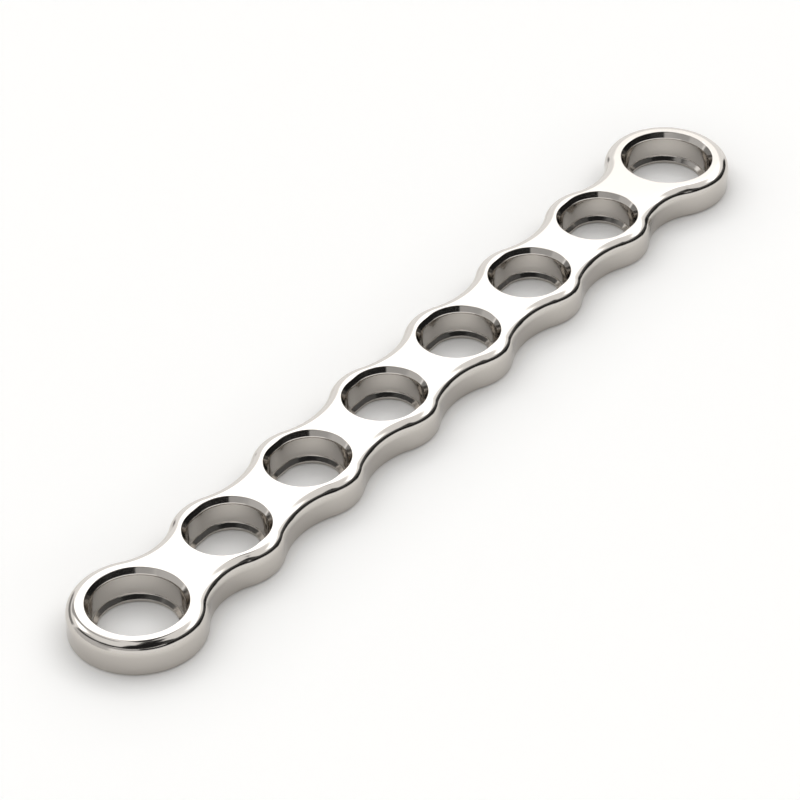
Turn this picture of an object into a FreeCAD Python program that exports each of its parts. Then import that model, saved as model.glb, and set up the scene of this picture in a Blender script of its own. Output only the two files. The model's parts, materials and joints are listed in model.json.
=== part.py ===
import FreeCAD, Part

import math
import os

# Orthopedic bone plate of the reconstruction type, in millimetres.
# The plate lies along X with its bone side on z = 0 and the screw heads' side up. The origin is the middle of
# the bone side. Round eyes stand in a row, one around each screw hole, and narrow waists join them, so that
# the plate can be bent edgewise as well as flat. The two end eyes are larger than the others.

# The row of holes
MIDDLE_HOLES = 6        # slotted holes between the two end holes
HOLE_PITCH = 12.0       # from one slotted hole to the next, centre to centre
END_PITCH = 12.8        # from the last slotted hole to the round hole at the end

# The bar
THICKNESS = 3.2
SCALLOP_DEPTH = 1.4     # how far the outline comes in at a waist, from the side of a middle eye
TOP_ROUND = 1.1         # outer edge on the screw heads' side
TOP_BEVELS = 4          # narrow bevels that stand for that round
BONE_CHAMFER = 0.25     # outer edge on the bone side

# A slotted hole
HEAD_RADIUS = 3.4       # of the recess that takes the screw head, at its upper end
SLOT_TRAVEL = 1.0       # how far a screw can slide along the plate
RIM = 1.9               # from the recess to the side of the eye

# The round hole in each end eye
END_HEAD_RADIUS = 4.25
END_RIM = 2.05

# Steps of every hole from the top face down, with each width on one side of the hole
FLARE_WIDTH = 0.4       # of the mouth that opens out to the top face
FLARE_DEPTH = 0.55
RECESS_TAPER = 0.2      # how much the recess narrows on its way down
SEAT_LEDGE = 0.4        # of the seat under the screw head, which slopes at 45 degrees
BORE_HEIGHT = 0.3       # from the bone side to the seat
BORE_CHAMFER = 0.1      # where the bore meets the bone side

OVERSHOOT = 1.0         # how far a cutter stands past the faces that it cuts
STEEL_DENSITY = 8.0     # of 316L stainless steel, in milligrams for each cubic millimetre

UP = FreeCAD.Vector(0, 0, 1)


class Hole:
    """One screw hole and the eye around it. A travel of 0 makes the hole round."""

    def __init__(self, x, head_radius, travel, rim):
        self.x = x
        self.head_radius = head_radius
        self.travel = travel
        self.eye_radius = head_radius + rim


def row_of_holes():
    """The holes from left to right: a round one, the slotted ones and a round one."""
    half_row = (MIDDLE_HOLES - 1) / 2 * HOLE_PITCH
    end_x = half_row + END_PITCH
    left, right = (Hole(side * end_x, END_HEAD_RADIUS, 0.0, END_RIM) for side in (-1, 1))
    middle = [Hole(index * HOLE_PITCH - half_row, HEAD_RADIUS, SLOT_TRAVEL, RIM) for index in range(MIDDLE_HOLES)]
    return [left, *middle, right]


def waist_arc(left, right):
    """Centre (x, y) and radius of the hollow arc between two eyes that comes in by SCALLOP_DEPTH.

    The arc's centre is at half_waist + radius from the plate's middle line. It touches an eye of radius e at a
    distance u along the plate where u squared + half_waist squared - e squared equals twice the arc's radius
    times (e - half_waist). Both eyes ask this of the same arc, which leaves a quadratic for u.
    """
    half_waist = HEAD_RADIUS + RIM - SCALLOP_DEPTH
    span = right.x - left.x
    stand_left = left.eye_radius - half_waist
    stand_right = right.eye_radius - half_waist
    rest_left = half_waist**2 - left.eye_radius**2
    rest_right = half_waist**2 - right.eye_radius**2
    square = stand_right - stand_left
    linear = 2 * stand_left * span
    constant = stand_right * rest_left - stand_left * (span**2 + rest_right)
    u = -2 * constant / (linear + math.sqrt(linear**2 - 4 * square * constant))
    radius = (u**2 + rest_left) / (2 * stand_left)
    return left.x + u, half_waist + radius, radius


def side_arcs(holes):
    """The arcs of one long side from the right tip to the left: centre x and y, radius and two angles.

    An angle is the direction in which the side faces there, and a hollow arc has a radius below 0. So the
    point at an angle is always the centre plus the radius times the direction.
    """
    arcs, start = [], 0.0
    for left, right in reversed(list(zip(holes, holes[1:]))):
        x, y, radius = waist_arc(left, right)
        leave, meet = (math.atan2(y, x - eye.x) for eye in (right, left))
        arcs.append((right.x, 0, right.eye_radius, start, leave))
        arcs.append((x, y, -radius, leave, meet))
        start = meet
    arcs.append((holes[0].x, 0, holes[0].eye_radius, start, math.pi))
    return arcs


def outline(holes, inset, height):
    """Closed wire around the plate at this height, moved in from its sides by the inset."""
    side = side_arcs(holes)
    other_side = [(x, -y, radius, -stop, -start) for x, y, radius, start, stop in reversed(side)]
    edges = []
    for x, y, radius, start, stop in side + other_side:
        reach = radius - inset
        angles = (start, (start + stop) / 2, stop)
        points = [FreeCAD.Vector(x + reach * math.cos(a), y + reach * math.sin(a), height) for a in angles]
        edges.append(Part.Arc(*points).toShape())
    return Part.Wire(edges)


def scalloped_bar(holes):
    """The bar before drilling: outlines set above each other with a straight face from each to the next.

    The upper corner has TOP_BEVELS narrow bevels at even angles, which all touch a round of TOP_ROUND.
    """
    sections = [(BONE_CHAMFER, 0.0), (0.0, BONE_CHAMFER)]
    turn = math.pi / 2 / (TOP_BEVELS + 1)
    corner = TOP_ROUND / math.cos(turn / 2)
    for index in range(TOP_BEVELS + 1):
        angle = (index + 0.5) * turn
        sections.append((TOP_ROUND - corner * math.cos(angle), THICKNESS - TOP_ROUND + corner * math.sin(angle)))
    return Part.makeLoft([outline(holes, inset, height) for inset, height in sections], True, True)


def hole_profile(hole):
    """Half of a hole's section as a face in the plane y = 0, from the hole's axis out to its wall.

    From the bone side up it has the bore with its chamfer, the seat, the recess and the flare. Both ends run
    past the plate at the slope that they have there.
    """
    recess_foot = hole.head_radius - RECESS_TAPER
    bore = recess_foot - SEAT_LEDGE
    flare_slope = FLARE_WIDTH / FLARE_DEPTH
    corners = [
        (0, -OVERSHOOT),
        (bore + BORE_CHAMFER + OVERSHOOT, -OVERSHOOT),
        (bore, BORE_CHAMFER),
        (bore, BORE_HEIGHT),
        (recess_foot, BORE_HEIGHT + SEAT_LEDGE),
        (hole.head_radius, THICKNESS - FLARE_DEPTH),
        (hole.head_radius + flare_slope * (FLARE_DEPTH + OVERSHOOT), THICKNESS + OVERSHOOT),
        (0, THICKNESS + OVERSHOOT),
    ]
    points = [FreeCAD.Vector(radius, 0, height) for radius, height in corners]
    return Part.Face(Part.makePolygon(points + points[:1]))


def hole_cutter(hole):
    """The hole's section turned half round at each end of the travel and run straight between the two."""
    solids = []
    for side in (-1, 1):
        end = FreeCAD.Vector(hole.x + side * hole.travel / 2, 0, 0)
        section = hole_profile(hole)
        section.rotate(FreeCAD.Vector(), UP, -90 * side)
        section.translate(end)
        solids.append(section.revolve(end, UP, 180))
        if hole.travel:
            solids.append(section.extrude(FreeCAD.Vector(-side * hole.travel, 0, 0)))
    return solids[0].fuse(solids[1:]).removeSplitter()


def bone_plate():
    """The whole plate: the scalloped bar with its screw holes cut."""
    holes = row_of_holes()
    return scalloped_bar(holes).cut([hole_cutter(hole) for hole in holes]).Solids[0]


os.makedirs("parts", exist_ok=True)
plate = bone_plate()
plate.exportStep("parts/bone_plate.step")
end_eye = row_of_holes()[-1]
print(f"bone_plate: {len(plate.Faces)} faces, valid {plate.isValid()}")
print(f"length {2 * (end_eye.x + end_eye.eye_radius):.2f} mm, width over an end eye {2 * end_eye.eye_radius:.2f} mm")
print(f"volume {plate.Volume:.1f} cubic mm, mass {plate.Volume * STEEL_DENSITY / 1000:.2f} g")
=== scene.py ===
# %% [markdown]
# This lesson dresses an orthopedic bone plate: a bar of stainless steel about 98 mm long, with a row of screw
# holes and scalloped sides. The imported model already fixes its sizes. What Blender adds is what the eye wants
# from polished metal: truly round edges, smooth shading and a surface that mirrors the room.
# The first step loads the imported plate, whose box is read later for its sizes. The finished piece has to stay
# inside it.

# %% Load the imported plate
import json
import math
from collections import namedtuple

import bpy
import numpy as np
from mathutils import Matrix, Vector


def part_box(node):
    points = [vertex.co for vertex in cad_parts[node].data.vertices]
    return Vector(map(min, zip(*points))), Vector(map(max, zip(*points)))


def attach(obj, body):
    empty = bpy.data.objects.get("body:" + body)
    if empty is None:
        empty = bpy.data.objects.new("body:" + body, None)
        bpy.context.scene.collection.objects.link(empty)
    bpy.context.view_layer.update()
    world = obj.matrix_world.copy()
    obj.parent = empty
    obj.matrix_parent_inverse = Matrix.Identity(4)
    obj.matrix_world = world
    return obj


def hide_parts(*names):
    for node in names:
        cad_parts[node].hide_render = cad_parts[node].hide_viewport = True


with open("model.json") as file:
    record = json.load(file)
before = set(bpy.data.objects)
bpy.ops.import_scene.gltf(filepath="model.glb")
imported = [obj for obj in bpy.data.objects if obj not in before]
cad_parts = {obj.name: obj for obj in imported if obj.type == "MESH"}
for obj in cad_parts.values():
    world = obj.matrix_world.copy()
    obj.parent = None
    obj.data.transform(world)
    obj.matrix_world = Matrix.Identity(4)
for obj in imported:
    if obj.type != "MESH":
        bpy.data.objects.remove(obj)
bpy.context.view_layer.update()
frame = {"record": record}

# %% [markdown]
# A surgeon picks a plate by its holes, so the record states them as mounts with sizes in millimetres. Reading
# them here keeps the two models alike. The sizes that no mount states, such as the steps of a hole above its
# bore, are repeated by name. Everything is worked out in millimetres and turned to metres at the end.

# %% Read the plate's sizes
MM = 0.001
dims = {mount["name"]: mount["dims"] for mount in frame["record"]["mounts"]}
slot_pairs = [dims["inner_screw_slots"], dims["middle_screw_slots"], dims["outer_screw_slots"]]
end_pair = dims["end_screw_holes"]
lowest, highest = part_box("bone_plate")

THICKNESS = (highest.z - lowest.z) / MM
BORE_HEIGHT = 0.3        # from the bone side to the seat
SEAT_LEDGE = 0.4         # width and height of the seat under the screw head
RECESS_TAPER = 0.2       # how much the recess around the head opens on its way up
FLARE_WIDTH = 0.4        # of the mouth that opens out to the top face
FLARE_DEPTH = 0.55
RIM = 1.9                # from a slot's recess to the side of its eye
END_RIM = 2.05
SCALLOP_DEPTH = 1.4      # how far a waist comes in from the side of a middle eye

Eye = namedtuple("Eye", "x bore head travel radius")


def eye_at(x, bore, travel, rim):
    """One eye of the plate: the place and sizes of its hole, and the radius of the steel around it."""
    head = bore + SEAT_LEDGE + RECESS_TAPER
    return Eye(x, bore, head, travel, head + rim)


slot_bore = slot_pairs[0]["hole_r_mm"]
slot_travel = slot_pairs[0]["slot_length_mm"] - 2 * slot_bore
slot_places = sorted(side * pair["spacing_x_mm"] / 2 for pair in slot_pairs for side in (-1, 1))
end_place = end_pair["spacing_x_mm"] / 2
left_end, right_end = (eye_at(side * end_place, end_pair["hole_r_mm"], 0.0, END_RIM) for side in (-1, 1))
eyes = [left_end, *(eye_at(x, slot_bore, slot_travel, RIM) for x in slot_places), right_end]
HALF_WAIST = eyes[1].radius - SCALLOP_DEPTH
print(f"{len(eyes)} eyes, waists {2 * HALF_WAIST:.1f} mm wide, plate {THICKNESS:.2f} mm thick")

# %% [markdown]
# Seen from above, each long side is a chain of arcs that run smoothly into each other: a bulging arc around
# every eye, and a hollow arc at every waist, where the plate is made narrow so that it bends there and not
# through a hole. One formula gives the hollow arc from the two eyes that it touches.

# %% Hollow arcs between the eyes
def waist_between(left, right):
    """Centre (x, y) and radius of the hollow arc that touches two eyes and leaves HALF_WAIST of steel.

    With the arc's centre at u along the plate from an eye of radius e, and at HALF_WAIST + r from the middle
    line, touching means that the centres lie e + r apart. So u squared plus HALF_WAIST squared less e squared
    is 2 r (e - HALF_WAIST). Both eyes ask this of one arc, which leaves a quadratic for u.
    """
    span = right.x - left.x
    stand_left, stand_right = left.radius - HALF_WAIST, right.radius - HALF_WAIST
    rest_left, rest_right = HALF_WAIST**2 - left.radius**2, HALF_WAIST**2 - right.radius**2
    square = stand_right - stand_left
    linear = 2 * stand_left * span
    constant = stand_right * rest_left - stand_left * (span**2 + rest_right)
    u = -2 * constant / (linear + math.sqrt(linear**2 - 4 * square * constant))
    radius = (u**2 + rest_left) / (2 * stand_left)
    return left.x + u, HALF_WAIST + radius, radius


waists = [waist_between(left, right) for left, right in zip(eyes, eyes[1:])]
print("hollow arcs of radius", ", ".join(f"{radius:.2f}" for x, y, radius in waists), "mm")

# %% [markdown]
# The plate could be made by cutting holes out of a solid, but a boolean cut leaves long thin faces, and those
# show as ripples in a mirror finish. So the skin is built as a grid instead. The plate is shared out among its
# eyes at the middles of the waists, and each share gets one closed border. Every later surface has the same
# columns as that border, so that they all meet point to point.

# %% Border of one eye's share of the plate
MIDDLE_STEPS = 8         # columns on half of the line across a waist
WAIST_STEPS = 12         # columns on half of a hollow arc
EYE_STEP = math.radians(2.6)    # about one column for each such turn of an eye

Border = namedtuple("Border", "x y facing_x facing_y on_side")


def arc_columns(x, y, radius, angles):
    """Columns on an arc: its centre plus the radius times the facing direction. Hollow arcs have radius < 0."""
    facing = np.cos(angles), np.sin(angles)
    return [x + radius * facing[0], y + radius * facing[1], *facing, np.ones_like(angles)]


def middle_columns(x, shares):
    """Columns on the line across a waist, at these shares of the way from the middle line to the side."""
    nothing = np.zeros_like(shares)
    return [x + nothing, shares * HALF_WAIST, nothing, nothing, nothing]


def border_of(index):
    """Closed border of one eye's share, from its right end over the upper side to the left and back below."""
    eye, first, last, parts, closing = eyes[index], 0.0, math.pi, [], []
    shares = np.linspace(0, 1, MIDDLE_STEPS, endpoint=False)
    if index + 1 < len(eyes):
        x, y, radius = waists[index]
        first = math.atan2(y, x - eye.x)
        turn = np.linspace(math.pi / 2, first, WAIST_STEPS, endpoint=False)
        parts += [middle_columns(x, shares), arc_columns(x, y, -radius, turn)]
    if index > 0:
        x, y, radius = waists[index - 1]
        last = math.atan2(y, x - eye.x)
        turn = np.linspace(math.pi / 2, last, WAIST_STEPS, endpoint=False)[::-1]
        closing = [arc_columns(x, y, -radius, turn), middle_columns(x, shares[::-1])]
    turn = np.linspace(first, last, round((last - first) / EYE_STEP) + 1)
    upper = np.concatenate([*parts, arc_columns(eye.x, 0.0, eye.radius, turn), *closing], axis=1)
    lower = upper[:, -2:0:-1] * np.array([1, -1, 1, -1, 1])[:, None]
    return Border(*np.concatenate([upper, lower], axis=1))


def moved_in(border, inset):
    """The border's x and y, moved in from the plate's sides. Lines across a waist get shorter to match."""
    x = border.x - inset * border.facing_x
    y = border.y - inset * border.facing_y
    return x, np.where(border.on_side > 0, y, border.y * (1 - inset / HALF_WAIST))


borders = [border_of(index) for index in range(len(eyes))]
print("columns in each share:", [len(border.x) for border in borders])

# %% [markdown]
# A hole is a ring of rays from its middle. In a slot the ring has straight sides, as long as the screw can
# slide, and half circles at both ends. Taking every ring at the same rays keeps the columns in line from the
# top face down through the recess and the bore.

# %% Rings of a slotted hole
LEAST_SINE = 0.1         # keeps rays along the plate, which no straight side meets, from dividing by 0


def slot_ring(eye, radius, rays):
    """Where rays from a hole's middle cross a slot of this radius: x, y and the outward direction there.

    A ray crosses a straight side at the distance radius / |sin|. Any other ray crosses the half circle about
    the near end of the travel, h away, at h |cos| + the root of (radius squared - h squared sin squared).
    """
    half = eye.travel / 2
    across, along = np.abs(np.sin(rays)), np.abs(np.cos(rays))
    round_reach = half * along + np.sqrt(radius**2 - (half * across) ** 2)
    straight = radius * along < half * across
    straight_reach = radius / np.maximum(across, LEAST_SINE)
    reach = np.where(straight, straight_reach, round_reach)
    x, y = reach * np.cos(rays), reach * np.sin(rays)
    out_x = (x - np.clip(x, -half, half)) / radius
    return x + eye.x, y, out_x, y / radius


first_slot = eyes[1]
long_ray, short_ray = slot_ring(first_slot, first_slot.bore, np.array([0.0, math.pi / 2]))[:2]
print(f"a slot's bore is {2 * (long_ray[0] - first_slot.x):.1f} mm long and {2 * short_ray[1]:.1f} mm wide")

# %% [markdown]
# Two sections give the plate its form: one runs down its side, and one down a hole. A hole opens with a flare,
# narrows down the recess that the screw head sinks into, then has the sloping seat that the head rests on,
# and last a short bore. Each section is a chain of straight lines. Electropolishing takes the edge off every
# corner, so each gets a round that leaves along one line and arrives along the next.

# %% Sections of the side and of a hole
TOP_ROUND = 1.1          # outer edge on the screw heads' side, in mm as all of these
BONE_ROUND = 0.25        # outer edge on the bone side
MOUTH_ROUND = 0.1        # where the flare meets the top face
FLARE_ROUND = 0.4        # where the recess meets the flare
SEAT_HOLLOW = 0.3        # in the corner between the recess and the seat
SEAT_ROUND = 0.08        # where the bore meets the seat
FOOT_ROUND = 0.12        # where the bore meets the bone side
LINE_ROWS = 4            # on each straight line
ROUND_ROWS = 4           # on the smallest round
ROWS_PER_MM = 8          # more of them for each mm of its radius


def rounded_section(corners):
    """Rows down a section, from the top face over its rounded corners to the bone side.

    A corner has a place, outward and up, and the radius of its round, below 0 in a hollow corner. A line that
    runs at an angle a faces a + 90 degrees. With f and g as the facing directions before and after a corner,
    the round's centre is the corner less radius (f + g) / (1 + f . g), and its points are the centre plus the
    radius times the facing direction. A row has the two numbers of its place and the two of its direction.
    """
    places = np.array([corner[:2] for corner in corners])
    along = np.diff(places, axis=0)
    slopes = [90.0, *(np.degrees(np.arctan2(along[:, 1], along[:, 0])) + 90), -90.0]
    rows = []
    for (outward, up, radius), before, after in zip(corners, slopes, slopes[1:]):
        turn = np.radians(np.linspace(before, after, ROUND_ROWS + round(ROWS_PER_MM * abs(radius))))
        facing = np.stack([np.cos(turn), np.sin(turn)], axis=1)
        centre = np.array([outward, up]) - radius * (facing[0] + facing[-1]) / (1 + facing[0] @ facing[-1])
        arc = np.concatenate([centre + radius * facing, facing], axis=1)
        line = [np.linspace(rows[-1][-1], arc[0], LINE_ROWS)[1:-1]] if rows else []
        rows += [*line, arc]
    return np.concatenate(rows)


def side_section():
    """The side from the top face to the bone side, measured outwards from the border."""
    return rounded_section([(0.0, THICKNESS, TOP_ROUND), (0.0, 0.0, BONE_ROUND)])


def hole_section(eye):
    """A hole from the top face to the bone side, measured outwards from its axis.

    It is worked out with the axis on its other side, where a hole looks like the side of a bar, and turned.
    """
    corners = [
        (-eye.head - FLARE_WIDTH, THICKNESS, MOUTH_ROUND),
        (-eye.head, THICKNESS - FLARE_DEPTH, FLARE_ROUND),
        (RECESS_TAPER - eye.head, BORE_HEIGHT + SEAT_LEDGE, -SEAT_HOLLOW),
        (-eye.bore, BORE_HEIGHT, SEAT_ROUND),
        (-eye.bore, 0.0, FOOT_ROUND),
    ]
    return rounded_section(corners) * np.array([-1, 1, -1, 1])


print(len(side_section()), "rows on the side,", len(hole_section(eyes[0])), "rows in a hole")

# %% [markdown]
# Now the sections are carried round. Each surface is a grid of points and of facing directions, with one
# column for each column of the border. The flat top and bone side are grids as well, between the ring at a
# hole's edge and the border, so that no face is long or thin.

# %% Surfaces of one share
FLAT_ROWS = 6


def side_surface(border):
    """The side section carried along the border."""
    section = side_section()
    plan = [moved_in(border, -outward) for outward in section[:, 0]]
    points = np.stack([np.stack([x, y, np.full_like(x, up)], 1) for (x, y), up in zip(plan, section[:, 1])])
    facing = np.stack([border.facing_x, border.facing_y, np.ones_like(border.x)], axis=1)
    stretch = np.stack([section[:, 2], section[:, 2], section[:, 3]], axis=1)
    return points, facing[None] * stretch[:, None]


def hole_surface(eye, rays):
    """The hole section carried round the hole's rays."""
    points, facings = [], []
    for radius, height, outward, up in hole_section(eye):
        x, y, out_x, out_y = slot_ring(eye, radius, rays)
        points.append(np.stack([x, y, np.full_like(x, height)], axis=1))
        facings.append(np.stack([outward * out_x, outward * out_y, np.full_like(x, up)], axis=1))
    return np.stack(points), np.stack(facings)


def flat_surface(inner, outer, up):
    """Rows evenly spaced between two rings of points, all facing up or all facing down."""
    share = np.linspace(0, 1, FLAT_ROWS)[:, None, None]
    points = inner + share * (outer - inner)
    return points, np.zeros_like(points) + np.array([0, 0, up])


def share_surfaces(eye, border):
    """The four surfaces of an eye's share, each with a mark for the columns where it has faces."""
    everywhere = np.ones_like(border.x, dtype=bool)
    sides, side_facing = side_surface(border)
    x, y = moved_in(border, TOP_ROUND)
    hole, hole_facing = hole_surface(eye, np.arctan2(y, x - eye.x))
    top, top_facing = flat_surface(hole[0], sides[0], 1)
    bone, bone_facing = flat_surface(hole[-1], sides[-1], -1)
    return [
        (sides, side_facing, border.on_side > 0),
        (hole, hole_facing, everywhere),
        (top, top_facing, everywhere),
        (bone, bone_facing, everywhere),
    ]


surfaces = [part for eye, border in zip(eyes, borders) for part in share_surfaces(eye, border)]
print(len(surfaces), "surfaces in", len(eyes), "shares")

# %% [markdown]
# The grids become one closed skin. Points that fall together are given one number, and each face of four
# corners is turned so that it looks the way its points face. Counting how many faces use each edge then proves
# that no seam is open: on a closed skin every edge has exactly two.

# %% Weld the surfaces into one skin
WELD = 1e-4              # mm within which points count as one


def grid_faces(shape, columns, start):
    """Faces of a grid that closes on itself across its columns, as four numbers each."""
    rows, count = shape
    number = start + np.arange(rows * count).reshape(rows, count)
    right = np.roll(number, -1, axis=1)
    faces = np.stack([number[:-1], right[:-1], right[1:], number[1:]], axis=2)
    return faces[:, columns & np.roll(columns, -1)].reshape(-1, 4)


def welded(surfaces):
    """Points, facing directions and faces of the whole skin, with no point doubled."""
    points, facings, faces, start = [], [], [], 0
    for grid, facing, columns in surfaces:
        points.append(grid.reshape(-1, 3))
        facings.append(facing.reshape(-1, 3))
        faces.append(grid_faces(grid.shape[:2], columns, start))
        start += len(points[-1])
    points, facings, faces = map(np.concatenate, (points, facings, faces))
    used, faces = np.unique(faces, return_inverse=True)
    points, facings, faces = points[used], facings[used], faces.reshape(-1, 4)
    keys = np.round(points / WELD).astype(np.int64)
    first, number = np.unique(keys, axis=0, return_index=True, return_inverse=True)[1:]
    points, facings, faces = points[first], facings[first], number.reshape(-1)[faces]
    diagonals = points[faces[:, 2]] - points[faces[:, 0]], points[faces[:, 3]] - points[faces[:, 1]]
    wrong_way = (np.cross(*diagonals) * facings[faces].sum(axis=1)).sum(axis=1) < 0
    faces[wrong_way] = faces[wrong_way, ::-1]
    return points, facings, faces


def open_edges(faces):
    """How many edges of a skin aren't shared by exactly two faces."""
    ends = np.stack([faces, np.roll(faces, -1, axis=1)], axis=2).reshape(-1, 2)
    count = np.unique(np.sort(ends, axis=1), axis=0, return_counts=True)[1]
    return int((count != 2).sum())


points, facings, faces = welded(surfaces)
print(f"{len(points)} points, {len(faces)} faces of four corners, {open_edges(faces)} open edges")

# %% [markdown]
# The arrays go into a mesh in a few calls. The facing directions are known exactly, so they are set as the
# mesh's own normals. Blender would otherwise average them from the faces, and a mirror shows the difference.
# The new piece stands for the imported plate and rides on its body.

# %% Make the plate's mesh
def mesh_of(name, points, facings, faces):
    """A smooth mesh object from arrays in millimetres, with these facing directions as its normals."""
    mesh = bpy.data.meshes.new(name)
    mesh.vertices.add(len(points))
    mesh.vertices.foreach_set("co", (points * MM).astype(np.float32).ravel())
    mesh.loops.add(faces.size)
    mesh.loops.foreach_set("vertex_index", faces.astype(np.int32).ravel())
    mesh.polygons.add(len(faces))
    mesh.polygons.foreach_set("loop_start", np.arange(0, faces.size, 4, dtype=np.int32))
    mesh.update(calc_edges=True)
    mesh.normals_split_custom_set_from_vertices(facings)
    made = bpy.data.objects.new(name, mesh)
    bpy.context.scene.collection.objects.link(made)
    return made


plate = mesh_of("polished_plate", points, facings, faces)
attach(plate, "root")
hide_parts("bone_plate")
size = np.ptp(points, axis=0)
print(f"plate of {size[0]:.2f} x {size[1]:.2f} x {size[2]:.2f} mm, {2 * len(faces)} triangles")

# %% [markdown]
# A material is a small tree of nodes. One helper adds a node, fills or links its inputs and sets its
# properties, so that each material below reads as a list of its steps. Colours are written the way a painter's
# chart gives them, as hex values, and one function turns them to the linear values that Blender wants.

# %% Helpers for nodes and colours
def linear(hex_colour):
    """Linear red, green, blue and alpha of an sRGB colour such as #D0CBC4."""
    srgb = np.array([int(hex_colour[i : i + 2], 16) for i in (1, 3, 5)]) / 255
    return (*np.where(srgb <= 0.04045, srgb / 12.92, ((srgb + 0.055) / 1.055) ** 2.4), 1.0)


def add_node(tree, kind, inputs=(), **settings):
    """Adds a node. Inputs are values or the sockets that feed it, in the node's own order with None to leave
    one alone, or by name. Settings are the node's properties.
    """
    made = tree.nodes.new(kind)
    for name, value in settings.items():
        setattr(made, name, value)
    for key, value in inputs.items() if isinstance(inputs, dict) else enumerate(inputs):
        if isinstance(value, bpy.types.NodeSocket):
            tree.links.new(value, made.inputs[key])
        elif value is not None:
            made.inputs[key].default_value = value
    return made


def new_material(name):
    """An empty material and its output node."""
    material = bpy.data.materials.new(name)
    material.use_nodes = True
    material.node_tree.nodes.clear()
    return material, material.node_tree.nodes.new("ShaderNodeOutputMaterial")


print("middle grey, #808080, is", round(float(linear("#808080")[0]), 3), "in linear values")

# %% [markdown]
# The plate is 316L stainless steel. It is milled, tumbled with stones and then electropolished: an acid bath
# and a current take off the highest points first, which leaves a bright mirror with a faint softness. The eye
# reads three things from it. Its colour is a warm light grey. Its mirror is a little blurred, and more so in
# some patches than in others. And its reflections waver slightly, because the tumbling leaves shallow waves a
# few millimetres long. The waves and the finer grain are bump from noise, at those real sizes.

# %% Electropolished stainless steel
STEEL_COLOUR = "#C7C2BC"
WAVE_LENGTH = 3.0        # mm from one shallow wave to the next
WAVE_HEIGHT = 0.004
GRAIN_LENGTH = 0.12      # mm from one speck of the fine grain to the next
GRAIN_HEIGHT = 0.0002
LEAST_BLUR, MOST_BLUR = 0.08, 0.13      # roughness, on Blender's scale from 0 to 1


def electropolished_steel():
    """Mirror-bright 316L: a metal with a fine roughness map, shallow waves and a faint grain."""
    material, output = new_material("electropolished_316L_steel")
    tree = material.node_tree
    place = add_node(tree, "ShaderNodeTexCoord").outputs["Object"]
    wave = {"Vector": place, "Scale": 1 / (WAVE_LENGTH * MM), "Detail": 1.0}
    wave = add_node(tree, "ShaderNodeTexNoise", wave).outputs["Fac"]
    grain = {"Vector": place, "Scale": 1 / (GRAIN_LENGTH * MM), "Detail": 2.0}
    grain = add_node(tree, "ShaderNodeTexNoise", grain).outputs["Fac"]
    waves = {"Strength": 1.0, "Distance": WAVE_HEIGHT * MM, "Height": wave}
    waves = add_node(tree, "ShaderNodeBump", waves).outputs["Normal"]
    specks = {"Strength": 1.0, "Distance": GRAIN_HEIGHT * MM, "Height": grain, "Normal": waves}
    specks = add_node(tree, "ShaderNodeBump", specks).outputs["Normal"]
    blur = {"Value": wave, "To Min": LEAST_BLUR, "To Max": MOST_BLUR}
    blur = add_node(tree, "ShaderNodeMapRange", blur).outputs["Result"]
    steel = {"Base Color": linear(STEEL_COLOUR), "Metallic": 1.0, "Roughness": blur, "Normal": specks}
    steel = add_node(tree, "ShaderNodeBsdfPrincipled", steel)
    tree.links.new(steel.outputs["BSDF"], output.inputs["Surface"])
    return material


plate.data.materials.append(electropolished_steel())
print("steel nodes:", [node.bl_label for node in plate.data.materials[0].node_tree.nodes])

# %% [markdown]
# The plate lies on a wide floor of white matt paint. Under plain light such paint renders as a very light grey,
# and more light would bleach the steel as well. So the floor adds a little brightness of its own, only for the
# camera and for rays that a metal or glass mirrors, which the Light Path node tells apart. Ambient Occlusion
# measures how much open sky a point of the floor sees. It takes that brightness away around the plate and in
# its holes, which paints shade there over the floor's real soft shadow. So the shadow stays, and the steel's
# walls, which mirror the floor, show that painted shade as their grey.

# %% White floor
FLOOR_SIZE = 6.0         # metres
FLOOR_COLOUR = "#F4F3F1"
FLOOR_ROUGHNESS = 0.9
FLOOR_LIFT = 0.26        # brightness added for the camera and for what the steel mirrors
SHADE_REACH = 10.0       # mm within which the plate takes that brightness away
SHADE_DEPTH = 2.0        # how strongly, as a power


def painted_floor():
    """White matt paint with a glow: FLOOR_LIFT times the open share of the sky to the power SHADE_DEPTH."""
    material, output = new_material("painted_studio_floor")
    tree = material.node_tree
    paint = {"Base Color": linear(FLOOR_COLOUR), "Roughness": FLOOR_ROUGHNESS, "Specular IOR Level": 0.0}
    paint = add_node(tree, "ShaderNodeBsdfPrincipled", paint)
    path = add_node(tree, "ShaderNodeLightPath").outputs
    mirrored = [path["Is Glossy Ray"], path["Is Transmission Ray"]]
    mirrored = add_node(tree, "ShaderNodeMath", mirrored, operation="MAXIMUM").outputs[0]
    seen = [path["Is Camera Ray"], mirrored]
    seen = add_node(tree, "ShaderNodeMath", seen, operation="MAXIMUM").outputs[0]
    # painted shade: the glow is dimmed near the plate and in its holes by the open sky to the power SHADE_DEPTH
    open_sky = add_node(tree, "ShaderNodeAmbientOcclusion", {"Distance": SHADE_REACH * MM}).outputs["AO"]
    open_sky = add_node(tree, "ShaderNodeMath", [open_sky, SHADE_DEPTH], operation="POWER").outputs[0]
    seen = add_node(tree, "ShaderNodeMath", [seen, open_sky], operation="MULTIPLY").outputs[0]
    lift = add_node(tree, "ShaderNodeMath", [seen, FLOOR_LIFT], operation="MULTIPLY").outputs[0]
    glow = add_node(tree, "ShaderNodeEmission", [linear("#FFFFFF"), lift])
    both = add_node(tree, "ShaderNodeAddShader", [paint.outputs[0], glow.outputs[0]])
    tree.links.new(both.outputs[0], output.inputs["Surface"])
    return material


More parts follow.
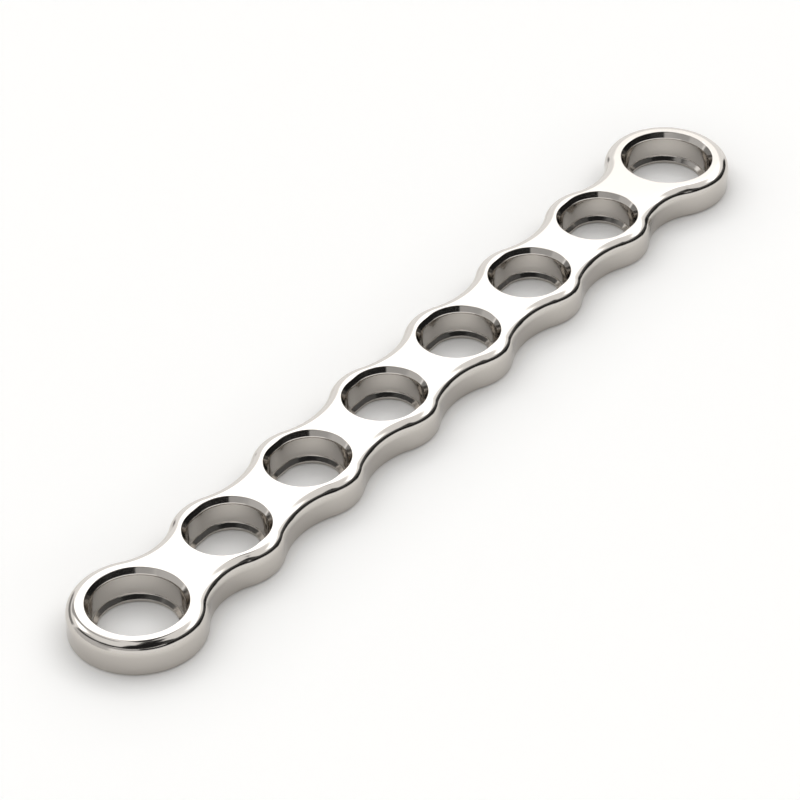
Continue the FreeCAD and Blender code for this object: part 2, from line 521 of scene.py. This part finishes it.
def studio_floor():
    """A square of painted floor at the height of the plate's bone side."""
    half = FLOOR_SIZE / 2
    mesh = bpy.data.meshes.new("studio_floor")
    corners = [(-half, -half, 0), (half, -half, 0), (half, half, 0), (-half, half, 0)]
    mesh.from_pydata(corners, [], [(0, 1, 2, 3)])
    mesh.materials.append(painted_floor())
    made = bpy.data.objects.new("studio_floor", mesh)
    bpy.context.scene.collection.objects.link(made)
    return made


floor = studio_floor()
print(f"floor of {floor.dimensions.x:.0f} x {floor.dimensions.y:.0f} m")

# %% [markdown]
# The camera looks at the plate from one end and a little above, through a long lens. Its place follows from
# its line of sight, which passes through the origin. A camera looks along its own -Z with Y up, so that is
# what to_track_quat turns to the line. The shift slides the picture without turning the camera.

# %% Camera
VIEW_AZIMUTH = math.radians(54.5)       # of the line of sight, from +Y towards +X
VIEW_ELEVATION = math.radians(37.1)
CAMERA_DISTANCE = 0.366                 # metres
SENSOR_WIDTH, FOCAL_LENGTH = 36.0, 173.6        # mm
SHIFT_X, SHIFT_Y = -0.0275, -0.01375    # shares of the picture's width

lens = bpy.data.cameras.new("camera")
lens.sensor_width, lens.lens = SENSOR_WIDTH, FOCAL_LENGTH
lens.shift_x, lens.shift_y = SHIFT_X, SHIFT_Y
camera = bpy.data.objects.new("camera", lens)
bpy.context.scene.collection.objects.link(camera)
flat = math.cos(VIEW_ELEVATION)
sight = Vector((flat * math.sin(VIEW_AZIMUTH), flat * math.cos(VIEW_AZIMUTH), -math.sin(VIEW_ELEVATION)))
camera.location = -CAMERA_DISTANCE * sight
camera.rotation_euler = sight.to_track_quat("-Z", "Y").to_euler()
bpy.context.scene.camera = camera
print("camera at", [round(part, 3) for part in camera.location], "m")

# %% [markdown]
# Polished metal has hardly any look of its own: it shows what stands around it. A photographer builds a tent
# of white cards and black flags around such a piece. Here the tent is painted on the world, by direction, so
# that nothing stands in the way of a view from another side. Each panel is laid over those before it, with
# soft edges. Angles are in degrees. Azimuth 0 is the camera's side, and the camera's left is positive.
#
# The top face mirrors the big card behind the plate, and is white. The flags make the dark line along its near
# edge, the crescents at the mouths of its holes and the dark rings at their seats. Without them a white piece
# on white would have no form. To find the place for a flag, take a spot that should be dark. Where n is the
# way that it faces and v the way to the camera, it mirrors the direction 2 (n . v) n - v.

# %% Tent of white cards and black flags
TENT_GREY = 1.1          # brightness where no panel is, with 1 as white

Panel = namedtuple("Panel", "name azimuth width elevation height slope edge brightness")

panels = [
    Panel("left wall", 85, 90, 20, 56, 0, 8, 0.7),
    Panel("ceiling", -84, 192, 90, 36, 0, 4, 0.02),
    Panel("front ceiling", -22, 106, 60, 34, 0, 4, 0.02),
    Panel("far wall", 180, 150, 10, 50, 0, 6, 1.2),
    Panel("back card", 180, 150, 42, 16, 0, 8, 2.6),
    Panel("far ceiling", 180, 20, 62, 20, 0, 3, 0.02),
    Panel("left edge flag", 142, 18, 48, 46, 0, 4, 0.5),
    Panel("front grey", 28, 72, 34, 12, 0, 4, 0.5),
    Panel("low right flag", -125, 42, 5, 30, 0, 4, 0.02),
    Panel("right seat flag", -92, 84, 30, 18, 0.49, 4, 0.09),
    Panel("right flare flag", -92, 84, 17, 15, 0.49, 3, 0.015),
    Panel("front flare flag", -38, 66, 32, 14, 0.1, 3, 0.015),
    Panel("left seat flag", 82, 46, 36, 12, -0.456, 3, 0.07),
    Panel("upper left seat flag", 42, 46, 48, 12, -0.2, 3, 0.05),
    Panel("low left flag", 130, 40, 4, 26, 0, 4, 0.3),
]
print(len(panels), "panels in the tent")

# %% [markdown]
# A panel's mask is worked out from the direction of a ray. How far the ray is from the middle of the panel,
# aside and above, is compared with half the panel's width and height, and the edge blurs that step. A Mix node
# then lays the panel's brightness over what is there already.

# %% Paint the tent on the world
def panel_mask(tree, turn, height, panel):
    """1 inside a panel and 0 outside it, from the direction's azimuth and elevation in degrees.

    The panel's middle line rises by slope degrees for each degree of azimuth.
    """
    aside = add_node(tree, "ShaderNodeMath", [turn, float(panel.azimuth)], operation="SUBTRACT").outputs[0]
    aside = add_node(tree, "ShaderNodeMath", [aside, 180.0, -180.0], operation="WRAP").outputs[0]
    middle = [aside, panel.slope, panel.elevation]
    middle = add_node(tree, "ShaderNodeMath", middle, operation="MULTIPLY_ADD").outputs[0]
    above = add_node(tree, "ShaderNodeMath", [height, middle], operation="SUBTRACT").outputs[0]
    masks = []
    for away, extent in ((aside, panel.width), (above, panel.height)):
        far = add_node(tree, "ShaderNodeMath", [away], operation="ABSOLUTE").outputs[0]
        step = [far, (extent + panel.edge) / 2, (extent - panel.edge) / 2]
        masks += add_node(tree, "ShaderNodeMapRange", step, interpolation_type="SMOOTHSTEP").outputs[:1]
    return add_node(tree, "ShaderNodeMath", masks, operation="MULTIPLY").outputs[0]


def tent(panels):
    """A world whose brightness in each direction comes from the panels."""
    world = bpy.data.worlds.new("studio_tent")
    world.use_nodes = True
    tree = world.node_tree
    tree.nodes.clear()
    direction = add_node(tree, "ShaderNodeTexCoord").outputs["Generated"]
    x, y, z = add_node(tree, "ShaderNodeSeparateXYZ", [direction]).outputs
    turn = add_node(tree, "ShaderNodeMath", [x, y], operation="ARCTAN2").outputs[0]
    turn = add_node(tree, "ShaderNodeMath", [turn], operation="DEGREES").outputs[0]
    camera_side = math.degrees(VIEW_AZIMUTH) + 180
    turn = add_node(tree, "ShaderNodeMath", [turn, camera_side], operation="SUBTRACT").outputs[0]
    height = add_node(tree, "ShaderNodeMath", [z], operation="ARCSINE").outputs[0]
    height = add_node(tree, "ShaderNodeMath", [height], operation="DEGREES").outputs[0]
    brightness = TENT_GREY
    for panel in panels:
        layers = [panel_mask(tree, turn, height, panel), None, brightness, panel.brightness]
        brightness = add_node(tree, "ShaderNodeMix", layers, label=panel.name).outputs[0]
    light = add_node(tree, "ShaderNodeBackground", [linear("#FFFFFF"), brightness])
    add_node(tree, "ShaderNodeOutputWorld", [light.outputs[0]])
    return world


bpy.context.scene.world = tent(panels)
bpy.context.scene.view_settings.view_transform = "Standard"
print(len(bpy.context.scene.world.node_tree.nodes), "nodes in the world")
